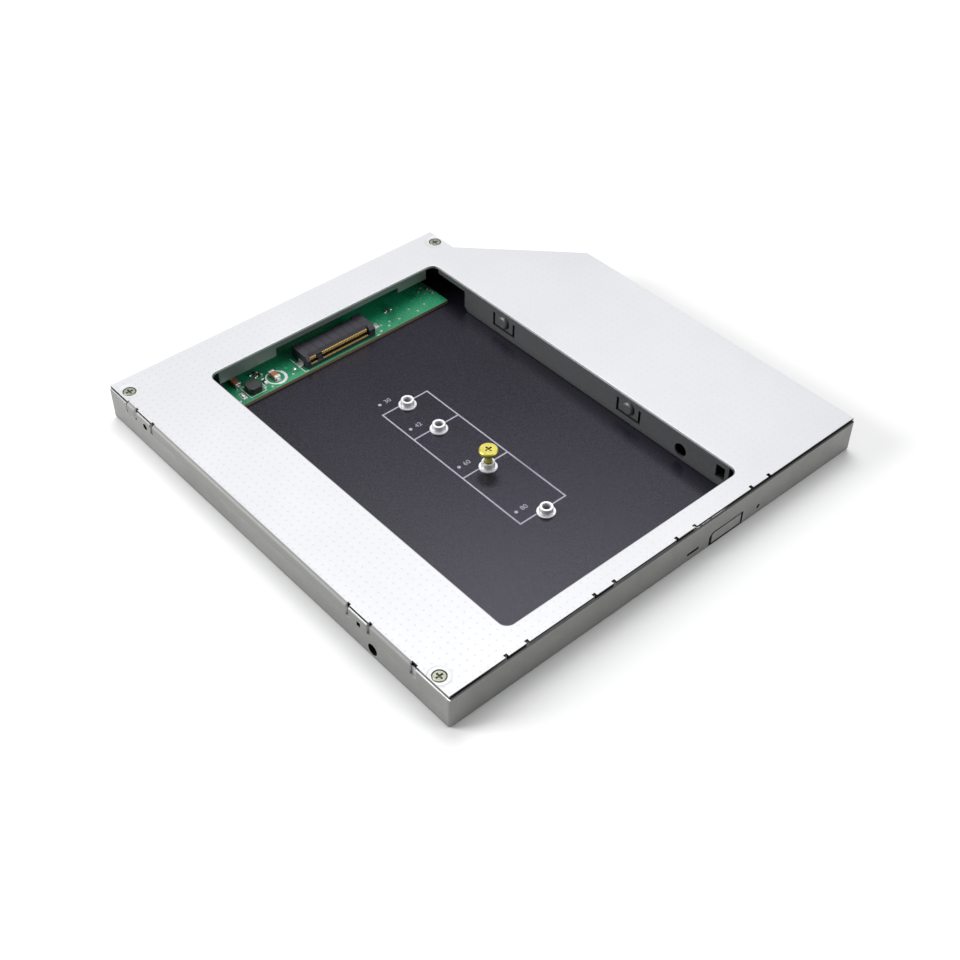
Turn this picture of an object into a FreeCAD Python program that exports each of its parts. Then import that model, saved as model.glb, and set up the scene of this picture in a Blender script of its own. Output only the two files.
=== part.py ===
import FreeCAD, Part
import Sketcher
import os
import math

# Drive-bay caddy for a slim solid-state drive module.
# Millimetres, +Z up.  Origin: centre of the underside of the bounding box.
# -Y is the visible front edge, +Y the edge with the plug, -X the left wall,
# +X the side with the cut-off corner.

V = FreeCAD.Vector
os.makedirs("parts", exist_ok=True)
doc = FreeCAD.newDocument("drive_caddy")

# ---------------------------------------------------------------- dimensions
DIMENSIONS = [
    # overall
    ("left_face", -64.0), ("cover_right", 64.0),
    ("cover_front", -62.69), ("cover_rear", 63.41),
    ("total_height", 9.5), ("sheet_gauge", 0.6),
    # cut-off corner of the cover
    ("cover_diag_right_y", 27.8), ("cover_diag_rear_x", 38.1),
    ("cover_diag_rear_y", 53.7),
    # case tray
    ("case_front", -63.41), ("case_rear", 63.2), ("case_right", 63.7),
    ("case_diag_right_y", 27.6), ("case_diag_rear_x", 37.8),
    ("case_diag_rear_y", 53.5), ("case_height", 8.9),
    ("case_floor", 0.5), ("case_wall", 0.5), ("case_left_wall", 1.6),
    ("case_inner_diag", 90.593), ("case_bottom_round", 0.8),
    ("case_corner_round", 0.65),
    ("ledge_height", 6.35), ("ledge_depth", 0.65), ("lip_wall_top", 8.45),
    ("ear_top", 9.05), ("ear_top_corner", 9.0), ("ear_inner", -63.6),
    ("ear_front_a", -37.1), ("ear_front_b", -31.1),
    ("ear_rear_a", 45.35), ("ear_rear_b", 51.0),
    ("ear_corner_front", -53.0), ("ear_corner_rear", 55.75),
    # corner bosses
    ("boss_top", 8.45), ("boss_front_x", -58.9), ("boss_front_y", -54.3),
    ("boss_rear_x", -58.6), ("boss_rear_y", 55.3),
    ("boss_right_x", 33.2), ("boss_right_y", 55.8),
    ("boss_hole_floor", 3.5), ("boss_hole_radius", 1.0),
    # left wall holes
    ("side_hole_y", -38.9), ("side_hole_z", 2.8), ("side_hole_radius", 1.5),
    ("peep_hole_y", 47.6), ("peep_hole_z", 6.9), ("peep_hole_radius", 0.85),
    ("side_mark_y", -34.4), ("side_mark_z", 6.9),
    ("side_mark_wide", 1.2), ("side_mark_high", 1.3),
    # front wall openings
    ("vent_left", 5.65), ("vent_right", 9.56), ("vent_low", 2.2),
    ("vent_high", 3.0), ("pin_hole_x", 29.73), ("pin_hole_z", 2.57),
    ("pin_hole_radius", 0.6), ("button_hole_left", 12.9),
    ("button_hole_right", 24.3), ("button_hole_low", 0.6),
    ("button_hole_high", 4.55), ("button_hole_clip", 1.0),
    # rear opening
    ("plug_hole_left", -24.7), ("plug_hole_right", 0.7),
    ("plug_hole_low", 0.75), ("plug_hole_high", 6.3),
    # cover window
    ("window_left", -42.99), ("window_right", 28.71),
    ("window_front", -56.85), ("window_rear", 50.9), ("window_round", 2.0),
    # cover side lip
    ("lip_outer", -64.0), ("lip_inner", -63.4), ("bend_start", -63.0),
    ("ear_gap_edge", -63.45), ("lip_bottom", 6.4),
    ("lip_outer_round", 1.0), ("lip_inner_round", 0.4),
    ("lip_main_a", -29.95), ("lip_main_b", 44.15),
    ("lip_front_a", -50.9), ("lip_front_b", -38.2),
    ("lip_rear_a", 52.1), ("lip_rear_b", 55.3),
    ("edge_rear_a", 51.15), ("edge_rear_b", 45.2), ("edge_front_a", -30.95),
    ("edge_front_b", -37.25), ("edge_front_c", -52.7), ("edge_rear_c", 55.6),
    # cover front relief notches and hook tabs
    ("notch_wide", 0.9), ("notch_deep", 0.8),
    ("notch_one", -47.99), ("notch_two", -42.22), ("notch_three", -22.91),
    ("notch_four", -17.05), ("notch_five", 2.34), ("notch_six", 8.18),
    ("notch_seven", 27.11), ("notch_eight", 33.21),
    ("hook_front", -62.69), ("hook_low", 6.5),
    # rims turned down from the window
    ("rim_left", -40.6), ("rim_right", 26.0), ("rim_low", 7.7),
    ("deep_tab_left_end", -23.4), ("deep_tab_left_low", 5.35),
    ("deep_tab_right_start", 16.2), ("deep_tab_right_low", 6.1),
    ("side_rim_a", 38.1), ("side_rim_b", 48.9),
    ("wall_front", -54.6), ("wall_rear", 38.1), ("wall_low", 1.65),
    # spring lugs and holes in the turned-down wall
    ("lug_slot", 0.75), ("lug_low", 3.4), ("lug_high", 7.55),
    ("lug_rear_a", 18.55), ("lug_rear_b", 26.75),
    ("lug_front_a", -26.5), ("lug_front_b", -18.45),
    ("bump_rear_y", 22.65), ("bump_front_y", -22.5), ("bump_z", 6.3),
    ("bump_radius", 1.85), ("bump_out", 0.8), ("bump_hollow", 1.2),
    ("wall_hole_y", -39.8), ("wall_hole_z", 4.4), ("wall_hole_radius", 1.8),
    ("wall_gap_a", -53.5), ("wall_gap_b", -50.8),
    ("wall_gap_low", 4.0), ("wall_gap_high", 7.65),
    # cover screws
    ("screw_front_x", -61.5), ("screw_front_y", -57.46),
    ("screw_rear_x", -61.15), ("screw_rear_y", 58.39),
    ("screw_right_x", 35.92), ("screw_right_y", 58.77),
    ("screw_seat", 9.05), ("screw_head_radius", 1.5),
    ("screw_shank_radius", 0.95), ("screw_length", 4.0),
    ("recess_radius", 1.7), ("cover_hole_radius", 1.15),
    # eject button
    ("button_left", 13.65), ("button_right", 23.8),
    ("button_low", 1.0), ("button_high", 4.15), ("button_clip", 0.75),
    ("button_face", -63.41), ("button_flange_front", -62.81),
    ("button_flange_back", -62.11),
    ("flange_left", 12.1), ("flange_right", 25.15),
    ("flange_low", 0.6), ("flange_high", 5.4),
    ("guide_left", 13.2), ("guide_right", 24.0), ("guide_z", 2.4),
    ("guide_radius", 0.5), ("guide_end", -58.9),
    # bracket and leaf spring behind the button
    ("bracket_front", -60.4), ("bracket_gauge", 0.5),
    ("bracket_left", 11.3), ("bracket_right", 25.9),
    ("bracket_high", 3.6), ("bracket_foot_end", -56.6),
    ("bracket_window_low", 1.45), ("bracket_window_high", 3.45),
    ("spring_low", 1.6), ("spring_high", 3.3), ("spring_gauge", 0.2),
    ("spring_crown_a", 17.7), ("spring_crown_b", 19.5),
    ("spring_foot_a", 15.3), ("spring_foot_b", 21.9),
    ("spring_foot_long", 0.7), ("spring_end", -60.55),
    ("rivet_left", 16.9), ("rivet_right", 20.3), ("rivet_y", -57.8),
    # boards
    ("drive_board_low", 0.5), ("board_gauge", 1.0),
    ("drive_board_left", -58.0), ("drive_board_right", 34.6),
    ("drive_board_front", -56.2), ("drive_board_rear", 59.8),
    ("converter_left", -53.5), ("converter_right", 27.4),
    ("converter_front", 43.45), ("converter_rear", 60.0),
    # press nuts through the floor
    ("post_radius", 1.5), ("post_left", -54.0),
    ("post_right", 32.0), ("post_front", -50.0), ("post_rear", 32.0),
    ("post_back_left", -50.0), ("post_back_right", 21.0),
    ("post_back_y", 57.0), ("post_foot", 0.05),
    ("post_top", 1.45), ("board_screw_radius", 2.2), ("rear_screw_radius", 1.5),
    ("board_screw_high", 0.7),
    ("board_shank_radius", 0.6),
    # drive standoffs: positions for modules 30, 42, 60 and 80 long
    ("standoff_x", -7.73), ("standoff_y_thirty", 17.93),
    ("standoff_y_fortytwo", 5.93), ("standoff_y_sixty", -12.07),
    ("standoff_y_eighty", -32.07), ("standoff_flange_radius", 2.3),
    ("standoff_flange_high", 0.4), ("standoff_radius", 1.65),
    ("standoff_high", 1.9), ("standoff_bore", 1.0),
    # module screw, standing part way out of the third standoff
    ("knob_low", 6.5), ("knob_high", 0.9), ("knob_radius", 2.35),
    ("knob_shank_radius", 0.95), ("knob_shank_end", 2.9),
    # edge socket for the module
    ("socket_left", -18.6), ("socket_right", 3.2),
    ("socket_front", 44.3), ("socket_rear", 51.2),
    ("socket_mouth_y", 45.2), ("socket_high", 3.2),
    ("socket_lip_low", 1.75), ("socket_slot_low", 0.9),
    ("socket_slot_end", 48.4), ("socket_key_a", -15.15),
    ("socket_key_b", -13.65), ("socket_cheek", 1.05), ("socket_cheek_right", 1.9),
    ("contact_pitch", 0.5), ("contact_wide", 0.3),
    # rear plug
    ("plug_left", -24.2), ("plug_right", 0.2), ("plug_low", 0.9),
    ("plug_high", 5.9), ("plug_shelf_front", 56.5), ("plug_back", 61.6),
    ("plug_mouth", 63.1), ("plug_tongue_low", 2.9), ("plug_tongue_high", 4.1),
]

sheet = doc.addObject("Spreadsheet::Sheet", "Dimensions")
for row, (alias, value) in enumerate(DIMENSIONS, 1):
    sheet.set("A%d" % row, alias.replace("_", " "))
    sheet.set("B%d" % row, "%g" % value)
    sheet.setAlias("B%d" % row, alias)
doc.recompute()
VALUES = dict(DIMENSIONS)


class Q:
    """A length with the text of the formula that gives it."""

    def __init__(self, value, text):
        self.v = value
        self.t = text

    def __add__(self, other):
        other = num(other)
        return Q(self.v + other.v, "(%s + %s)" % (self.t, other.t))

    def __radd__(self, other):
        return num(other) + self

    def __sub__(self, other):
        other = num(other)
        return Q(self.v - other.v, "(%s - %s)" % (self.t, other.t))

    def __rsub__(self, other):
        return num(other) - self

    def __mul__(self, other):
        other = num(other)
        return Q(self.v * other.v, "(%s * %s)" % (self.t, other.t))

    def __truediv__(self, other):
        other = num(other)
        return Q(self.v / other.v, "(%s / %s)" % (self.t, other.t))

    def __neg__(self):
        return Q(-self.v, "(0 - %s)" % self.t)


def num(value):
    if isinstance(value, Q):
        return value
    text = "%.5g" % value
    return Q(float(value), "(%s)" % text if value < 0 else text)


def D(alias):
    return Q(VALUES[alias], "Dimensions." + alias)


# ------------------------------------------------------------------- helpers
PLANE = {"XY": "XY_Plane", "XZ": "XZ_Plane", "YZ": "YZ_Plane"}


def new_body(label):
    body = doc.addObject("PartDesign::Body", label)
    body.Label = label
    return body


def sketch(body, name, plane, loops, offset=0.0):
    """Sketch on an origin plane moved along its normal.
    XY: normal +Z.  XZ: x = X, y = Z, normal -Y.  YZ: x = Y, y = Z, normal +X."""
    offset = num(offset)
    sk = body.newObject("Sketcher::SketchObject", name)
    host = [o for o in body.Origin.OriginFeatures if o.Role == PLANE[plane]][0]
    sk.AttachmentSupport = [(host, "")]
    sk.MapMode = "FlatFace"
    sk.AttachmentOffset = FreeCAD.Placement(V(0, 0, offset.v), FreeCAD.Rotation())
    if offset.v != 0:
        sk.setExpression("AttachmentOffset.Base.z", offset.t)
    bound = []
    for loop in loops:
        first = sk.GeometryCount
        base = sk.ConstraintCount
        if loop[0] == "circle":
            cx, cy, r = [num(a) for a in loop[1:]]
            sk.addGeometry(Part.Circle(V(cx.v, cy.v, 0), V(0, 0, 1), r.v), False)
            sk.addConstraint([
                Sketcher.Constraint("DistanceX", -1, 1, first, 3, cx.v),
                Sketcher.Constraint("DistanceY", -1, 1, first, 3, cy.v),
                Sketcher.Constraint("Radius", first, r.v)])
            bound += [(base, cx), (base + 1, cy), (base + 2, r)]
            continue
        pts = [(num(a), num(b)) for a, b in loop]
        n = len(pts)
        sk.addGeometry([Part.LineSegment(V(pts[i][0].v, pts[i][1].v, 0),
                                         V(pts[(i + 1) % n][0].v, pts[(i + 1) % n][1].v, 0))
                        for i in range(n)], False)
        rules = [Sketcher.Constraint("Coincident", first + i, 2, first + (i + 1) % n, 1)
                 for i in range(n)]
        for i, (a, b) in enumerate(pts):
            rules.append(Sketcher.Constraint("DistanceX", -1, 1, first + i, 1, a.v))
            rules.append(Sketcher.Constraint("DistanceY", -1, 1, first + i, 1, b.v))
        sk.addConstraint(rules)
        for i, (a, b) in enumerate(pts):
            bound += [(base + n + 2 * i, a), (base + n + 2 * i + 1, b)]
    for index, q in bound:
        if "Dimensions" in q.t:
            sk.setExpression("Constraints[%d]" % index, q.t)
    return sk


def rect(a0, a1, b0, b1):
    return [(a0, b0), (a1, b0), (a1, b1), (a0, b1)]


def extrude(kind, body, name, plane, loops, start, end):
    """Pad or Pocket between two positions along the plane's axis."""
    start, end = num(start), num(end)
    if plane == "XZ":
        # the plane's normal is -Y, so it starts at the larger Y
        low, high = (start, end) if start.v < end.v else (end, start)
        offset, length = -high, high - low
    else:
        low, high = (start, end) if start.v < end.v else (end, start)
        offset, length = low, high - low
    before = body.Shape.Volume if body.Tip is not None and not body.Shape.isNull() else 0.0
    sk = sketch(body, name + "_profile", plane, loops, offset)
    f = body.newObject("PartDesign::" + kind, name)
    f.Profile = sk
    f.Length = length.v
    if "Dimensions" in length.t:
        f.setExpression("Length", length.t)
    if kind == "Pocket":
        f.Reversed = True
    doc.recompute()
    after = body.Shape.Volume
    if kind == "Pad" and not after > before + 1e-6:
        raise RuntimeError("%s adds nothing" % name)
    if kind == "Pocket" and not after < before - 1e-6:
        raise RuntimeError("%s cuts nothing" % name)
    return f


def pad(*a):
    return extrude("Pad", *a)


def pocket(*a):
    return extrude("Pocket", *a)


def fillet(body, name, radius, test):
    radius = num(radius)
    prev = body.Tip
    names = ["Edge%d" % (i + 1) for i, e in enumerate(prev.Shape.Edges) if test(e)]
    if not names:
        raise RuntimeError("%s finds no edge" % name)
    f = body.newObject("PartDesign::Fillet", name)
    f.Base = (prev, names)
    f.Radius = radius.v
    if "Dimensions" in radius.t:
        f.setExpression("Radius", radius.t)
    doc.recompute()
    return f


def along(e, axis):
    b = e.BoundBox
    size = {"x": b.XLength, "y": b.YLength, "z": b.ZLength}
    return size[axis] > 1e-3 and all(v < 1e-3 for k, v in size.items() if k != axis)


def at(e, x=None, y=None, z=None, tol=0.02):
    c = e.BoundBox.Center
    return all(w is None or abs(w - g) < tol for w, g in ((x, c.x), (y, c.y), (z, c.z)))


def bind(obj, prop, q):
    q = num(q)
    if "Dimensions" in q.t:
        obj.setExpression(prop, q.t)


def box(name, x0, x1, y0, y1, z0, z1):
    x0, x1, y0, y1, z0, z1 = [num(a) for a in (x0, x1, y0, y1, z0, z1)]
    o = doc.addObject("Part::Box", name)
    o.Length, o.Width, o.Height = x1.v - x0.v, y1.v - y0.v, z1.v - z0.v
    o.Placement.Base = V(x0.v, y0.v, z0.v)
    for prop, q in (("Length", x1 - x0), ("Width", y1 - y0), ("Height", z1 - z0),
                    ("Placement.Base.x", x0), ("Placement.Base.y", y0),
                    ("Placement.Base.z", z0)):
        bind(o, prop, q)
    return o


def cyl(name, x, y, z0, z1, r, top=None):
    """Upright cylinder, or a cone when the radius at the top is given."""
    x, y, z0, z1, r = [num(a) for a in (x, y, z0, z1, r)]
    if top is None:
        o = doc.addObject("Part::Cylinder", name)
        o.Radius = r.v
        bind(o, "Radius", r)
    else:
        top = num(top)
        o = doc.addObject("Part::Cone", name)
        o.Radius1, o.Radius2 = r.v, top.v
        bind(o, "Radius1", r)
        bind(o, "Radius2", top)
    o.Height = z1.v - z0.v
    o.Placement.Base = V(x.v, y.v, z0.v)
    bind(o, "Height", z1 - z0)
    bind(o, "Placement.Base.x", x)
    bind(o, "Placement.Base.y", y)
    bind(o, "Placement.Base.z", z0)
    return o


def fuse(name, items):
    o = doc.addObject("Part::MultiFuse", name)
    o.Shapes = items
    o.Refine = True
    return o


def cut(name, base, tool):
    o = doc.addObject("Part::Cut", name)
    o.Base, o.Tool = base, tool
    return o


def group(label, items):
    o = doc.addObject("Part::Compound", label)
    o.Links = items
    o.Label = label
    return o


def named(obj, label):
    obj.Label = label
    return obj


NODES = []
top = D("total_height")
under = top - D("sheet_gauge")

# --------------------------------------------------------------- bottom case
case = new_body("case_tray")
outline = [(D("left_face"), D("case_front")), (D("case_right"), D("case_front")),
           (D("case_right"), D("case_diag_right_y")),
           (D("case_diag_rear_x"), D("case_diag_rear_y")),
           (D("case_diag_rear_x"), D("case_rear")), (D("left_face"), D("case_rear"))]
pad(case, "tray_block", "XY", [outline], 0, D("ear_top"))
fillet(case, "tray_bottom_round", D("case_bottom_round"),
       lambda e: abs(e.BoundBox.ZMax) < 1e-4)
fillet(case, "tray_corner_round", D("case_corner_round"),
       lambda e: along(e, "z") and e.BoundBox.ZLength > 5)
w = D("case_wall")
inl = D("left_face") + D("case_left_wall")
inf, inr = D("case_front") + w, D("case_rear") - w
inright, indiag = D("case_right") - w, D("case_inner_diag")
inrx = D("case_diag_rear_x") - w
pocket(case, "tray_inside", "XY", [[
    (D("boss_front_x"), inf), (inright, inf), (inright, indiag - inright),
    (inrx, indiag - inrx), (inrx, D("boss_right_y")),
    (D("boss_right_x"), D("boss_right_y")), (D("boss_right_x"), inr),
    (D("boss_rear_x"), inr), (D("boss_rear_x"), D("boss_rear_y")),
    (inl, D("boss_rear_y")), (inl, D("boss_front_y")),
    (D("boss_front_x"), D("boss_front_y"))]], D("case_floor"), 14)
rabbet = D("left_face") + D("ledge_depth")
ear = D("ear_inner")
pocket(case, "rim_level", "XY", [rect(ear, 66, -66, 66)], D("case_height"), 14)
pocket(case, "side_ledge", "XY", [
    rect(-66, rabbet, D("ear_corner_front"), D("ear_front_a")),
    rect(-66, rabbet, D("ear_front_b"), D("ear_rear_a")),
    rect(-66, rabbet, D("ear_rear_b"), D("ear_corner_rear"))], D("ledge_height"), 14)
pocket(case, "side_rim_relief", "XY", [
    rect(-66, inl, D("edge_front_c"), D("ear_front_a")),
    rect(-66, inl, D("ear_front_b"), D("ear_rear_a")),
    rect(-66, inl, D("ear_rear_b"), D("ear_corner_rear"))], D("lip_wall_top"), 14)
pocket(case, "corner_ear_level", "XY", [
    rect(-66, ear, -66, D("ear_corner_front")),
    rect(-66, ear, D("ear_corner_rear"), 66)], D("ear_top_corner"), 14)
pocket(case, "boss_level", "XY", [
    rect(ear, D("boss_front_x"), inf, D("boss_front_y")),
    rect(ear, D("boss_rear_x"), D("boss_rear_y"), inr),
    rect(D("boss_right_x"), 39, 56.1, 61.4)], D("boss_top"), 14)
SCREWS = [(D("screw_front_x"), D("screw_front_y")),
          (D("screw_rear_x"), D("screw_rear_y")),
          (D("screw_right_x"), D("screw_right_y"))]
pocket(case, "boss_holes", "XY",
       [("circle", x, y, D("boss_hole_radius")) for x, y in SCREWS],
       D("boss_hole_floor"), 14)
pocket(case, "side_holes", "YZ", [
    ("circle", D("side_hole_y"), D("side_hole_z"), D("side_hole_radius")),
    ("circle", D("peep_hole_y"), D("peep_hole_z"), D("peep_hole_radius")),
    rect(D("side_mark_y") - D("side_mark_wide") / 2, D("side_mark_y") + D("side_mark_wide") / 2,
         D("side_mark_z") - D("side_mark_high") / 2, D("side_mark_z") + D("side_mark_high") / 2)],
    -65, inl + 0.5)
pocket(case, "front_openings", "XZ", [
    rect(D("vent_left"), D("vent_right"), D("vent_low"), D("vent_high")),
    ("circle", D("pin_hole_x"), D("pin_hole_z"), D("pin_hole_radius")),
    [(D("button_hole_left"), D("button_hole_low")), (D("button_hole_right"), D("button_hole_low")),
     (D("button_hole_right"), D("button_hole_high")),
     (D("button_hole_left") + D("button_hole_clip"), D("button_hole_high")),
     (D("button_hole_left"), D("button_hole_high") - D("button_hole_clip"))]],
    -65, inf + 0.5)
pocket(case, "plug_opening", "XZ", [rect(D("plug_hole_left"), D("plug_hole_right"),
                                         D("plug_hole_low"), D("plug_hole_high"))], inr - 0.5, 65)
seat_front = D("drive_board_low") + D("board_gauge")
seat_back = seat_front + D("board_gauge")
POSTS = [(D("post_left"), D("post_front"), seat_front),
         (D("post_left"), D("post_rear"), seat_front),
         (D("post_right"), D("post_front"), seat_front),
         (D("post_right"), D("post_rear"), seat_front),
         (D("post_back_left"), D("post_back_y"), seat_back),
         (D("post_back_right"), D("post_back_y"), seat_back)]
RIVETS = [(D("rivet_left"), D("rivet_y")), (D("rivet_right"), D("rivet_y"))]
pocket(case, "floor_holes", "XY",
       [("circle", x, y, D("post_radius") + 0.02) for x, y, z in POSTS]
       + [("circle", x, y, num(0.62)) for x, y in RIVETS], -1, D("case_floor") + 0.2)
# the tray in two solids that meet face to face, the floor and the ring of walls
case_pan = doc.addObject("Part::Common", "case_pan")
case_pan.Base = case
case_pan.Tool = box("case_pan_level", -70, 70, -70, 70, -1, D("case_floor"))
case_ring = cut("case_ring", case, box("case_ring_level", -70, 70, -70, 70, -1, D("case_floor")))
NODES.append(group("bottom_case", [case_pan, case_ring]))

# ----------------------------------------------------------------- top cover
cover = new_body("top_cover")
ge, gs = D("ear_gap_edge"), D("bend_start")
pad(cover, "cover_sheet", "XY", [[
    (ge, D("cover_front")), (D("cover_right"), D("cover_front")),
    (D("cover_right"), D("cover_diag_right_y")),
    (D("cover_diag_rear_x"), D("cover_diag_rear_y")),
    (D("cover_diag_rear_x"), D("cover_rear")), (ge, D("cover_rear")),
    (ge, D("edge_rear_c")), (gs, D("edge_rear_c")), (gs, D("edge_rear_a")),
    (ge, D("edge_rear_a")), (ge, D("edge_rear_b")), (gs, D("edge_rear_b")),
    (gs, D("edge_front_a")), (ge, D("edge_front_a")), (ge, D("edge_front_b")),
    (gs, D("edge_front_b")), (gs, D("edge_front_c")), (ge, D("edge_front_c"))]], under, top)
NOTCHES = [D("notch_" + n) for n in ("one", "two", "three", "four", "five",
                                     "six", "seven", "eight")]
half = D("notch_wide") / 2
pocket(cover, "front_notches", "XY",
       [rect(x - half, x + half, -65, D("cover_front") + D("notch_deep")) for x in NOTCHES],
       8, 10)
pad(cover, "side_lips", "XY", [
    rect(D("lip_outer"), gs, D("lip_main_a"), D("lip_main_b")),
    rect(D("lip_outer"), gs, D("lip_front_a"), D("lip_front_b")),
    rect(D("lip_outer"), gs, D("lip_rear_a"), D("lip_rear_b"))], D("lip_bottom"), top)
pocket(cover, "side_lip_hollow", "XY", [
    rect(D("lip_inner"), gs, -60, 60)], 0, under)
fillet(cover, "lip_outer_bend", D("lip_outer_round"),
       lambda e: along(e, "y") and at(e, x=VALUES["lip_outer"], z=VALUES["total_height"]))
fillet(cover, "lip_inner_bend", D("lip_inner_round"),
       lambda e: along(e, "y") and at(e, x=VALUES["lip_inner"], z=VALUES["total_height"] - VALUES["sheet_gauge"]))
# rims turned down from the edges of the window
g = D("sheet_gauge")
wr, wb = D("window_right"), D("window_rear")
pad(cover, "rear_rim", "XZ", [[
    (D("rim_left"), D("deep_tab_left_low")), (D("deep_tab_left_end"), D("deep_tab_left_low")),
    (D("deep_tab_left_end"), D("rim_low")), (D("deep_tab_right_start"), D("rim_low")),
    (D("deep_tab_right_start"), D("deep_tab_right_low")), (D("rim_right"), D("deep_tab_right_low")),
    (D("rim_right"), top), (D("rim_left"), top)]], wb, wb + g)
pad(cover, "turned_wall", "YZ", [[
    (D("wall_front"), D("wall_low") + 1.2), (D("wall_front") + 1.2, D("wall_low")),
    (D("wall_rear") - 1.2, D("wall_low")), (D("wall_rear"), D("wall_low") + 1.2),
    (D("wall_rear"), D("rim_low")), (D("side_rim_b"), D("rim_low")),
    (D("side_rim_b"), top), (D("wall_front"), top)]], wr, wr + g)
# the window itself
pocket(cover, "window", "XY", [rect(D("window_left"), D("window_right"),
                                    D("window_front"), D("window_rear"))], 8, 10)
fillet(cover, "window_corners", D("window_round"),
       lambda e: along(e, "z") and any(at(e, x=x, y=y) for x in (VALUES["window_left"], VALUES["window_right"])
                                       for y in (VALUES["window_front"], VALUES["window_rear"])))
fillet(cover, "rim_bends", 0.5,
       lambda e: abs(e.BoundBox.ZMax - VALUES["total_height"]) < 1e-3 and e.BoundBox.ZLength < 1e-3
       and ((along(e, "x") and at(e, y=VALUES["window_rear"]) and e.Length > 20)
            or (along(e, "y") and at(e, x=VALUES["window_right"]) and e.Length > 20)))


def u_slot(a, b):
    s = D("lug_slot")
    lo, hi = D("lug_low"), D("lug_high")
    return [(a, hi), (a, lo), (b, lo), (b, hi), (b - s, hi), (b - s, lo + s),
            (a + s, lo + s), (a + s, hi)]


pocket(cover, "lug_slots", "YZ", [u_slot(D("lug_rear_a"), D("lug_rear_b")),
                                  u_slot(D("lug_front_a"), D("lug_front_b"))], wr - 0.5, wr + g + 0.5)
pocket(cover, "wall_openings", "YZ", [
    ("circle", D("wall_hole_y"), D("wall_hole_z"), D("wall_hole_radius")),
    rect(D("wall_gap_a"), D("wall_gap_b"), D("wall_gap_low"), D("wall_gap_high"))],
    wr - 0.5, wr + g + 0.5)
pad(cover, "lug_bumps", "YZ", [
    ("circle", D("bump_rear_y"), D("bump_z"), D("bump_radius")),
    ("circle", D("bump_front_y"), D("bump_z"), D("bump_radius"))], wr - D("bump_out"), wr)
fillet(cover, "lug_bump_crowns", 0.7,
       lambda e: abs(e.BoundBox.XMax - (VALUES["window_right"] - VALUES["bump_out"])) < 1e-3)
pocket(cover, "lug_bump_hollows", "YZ", [
    ("circle", D("bump_rear_y"), D("bump_z"), D("bump_hollow")),
    ("circle", D("bump_front_y"), D("bump_z"), D("bump_hollow"))],
    wr - D("bump_out") + g, wr + g + 0.5)
# hook tabs behind the front wall of the case
pad(cover, "front_hooks", "XY", [
    rect(NOTCHES[i] + half, NOTCHES[i + 1] - half, D("hook_front"), D("hook_front") + g)
    for i in (0, 2, 4, 6)], D("hook_low"), under)
# screw seats: pads pressed down over the bosses, with a round recess above
pad(cover, "screw_pads", "XY", [
    rect(ge, -59.2, -60.0, -54.9),
    rect(ge, -58.9, 55.95, 60.9),
    rect(33.4, 37.8, 56.3, 61.2)], D("boss_top"), under)
pocket(cover, "screw_recesses", "XY",
       [("circle", x, y, D("recess_radius")) for x, y in SCREWS], D("screw_seat"), 10)
pocket(cover, "screw_holes", "XY",
       [("circle", x, y, D("cover_hole_radius")) for x, y in SCREWS], 8, 10)
NODES.append(cover)

# -------------------------------------------------------------------- screws


def cross_screw(name, x, y, seat, head_r, head_h, bevel, shank_r, shank_low, slot_long,
                slot_wide, slot_deep):
    """Screw with a flat head, a bevelled rim and a cross recess."""
    head = cyl(name + "_head", x, y, seat, seat + head_h - bevel, head_r)
    rim = cyl(name + "_rim", x, y, seat + head_h - bevel, seat + head_h, head_r, head_r - bevel)
    shank = cyl(name + "_shank", x, y, shank_low, seat, shank_r)
    whole = fuse(name + "_blank", [head, rim, shank])
    z0, z1 = seat + head_h - slot_deep, seat + head_h + 0.2
    one = box(name + "_slot_a", x - slot_long / 2, x + slot_long / 2,
              y - slot_wide / 2, y + slot_wide / 2, z0, z1)
    two = box(name + "_slot_b", x - slot_wide / 2, x + slot_wide / 2,
              y - slot_long / 2, y + slot_long / 2, z0, z1)
    return cut(name, whole, fuse(name + "_cross", [one, two]))


NODES.append(group("cover_screws", [
    cross_screw("cover_screw_%s" % tag, x, y, D("screw_seat"), D("screw_head_radius"),
                top - D("screw_seat"), num(0.15), D("screw_shank_radius"),
                D("screw_seat") - D("screw_length"), num(1.9), num(0.5), num(0.3))
    for tag, (x, y) in zip(("front", "rear", "right"), SCREWS)]))

NODES.append(named(cross_screw(
    "module_screw", D("standoff_x"), D("standoff_y_sixty"), D("knob_low"), D("knob_radius"),
    D("knob_high"), num(0.25), D("knob_shank_radius"), D("knob_shank_end"), num(2.0),
    num(0.55), num(0.4)), "ssd_screw"))

# -------------------------------------------------------------- eject button
button = new_body("eject_button")
bl, br = D("button_left"), D("button_right")
pad(button, "button_flange", "XZ", [rect(D("flange_left"), D("flange_right"),
                                         D("flange_low"), D("flange_high"))],
    D("button_flange_front"), D("button_flange_back"))
pad(button, "button_cap", "XZ", [[
    (bl, D("button_low")), (br, D("button_low")), (br, D("button_high")),
    (bl + D("button_clip"), D("button_high")), (bl, D("button_high") - D("button_clip"))]],
    D("button_face"), D("button_flange_front"))
fillet(button, "button_face_round", 0.25,
       lambda e: abs(e.BoundBox.YMax - VALUES["button_face"]) < 1e-3)
pad(button, "button_guides", "XZ", [
    ("circle", D("guide_left"), D("guide_z"), D("guide_radius")),
    ("circle", D("guide_right"), D("guide_z"), D("guide_radius"))],
    D("button_flange_back"), D("guide_end"))
NODES.append(button)

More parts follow.
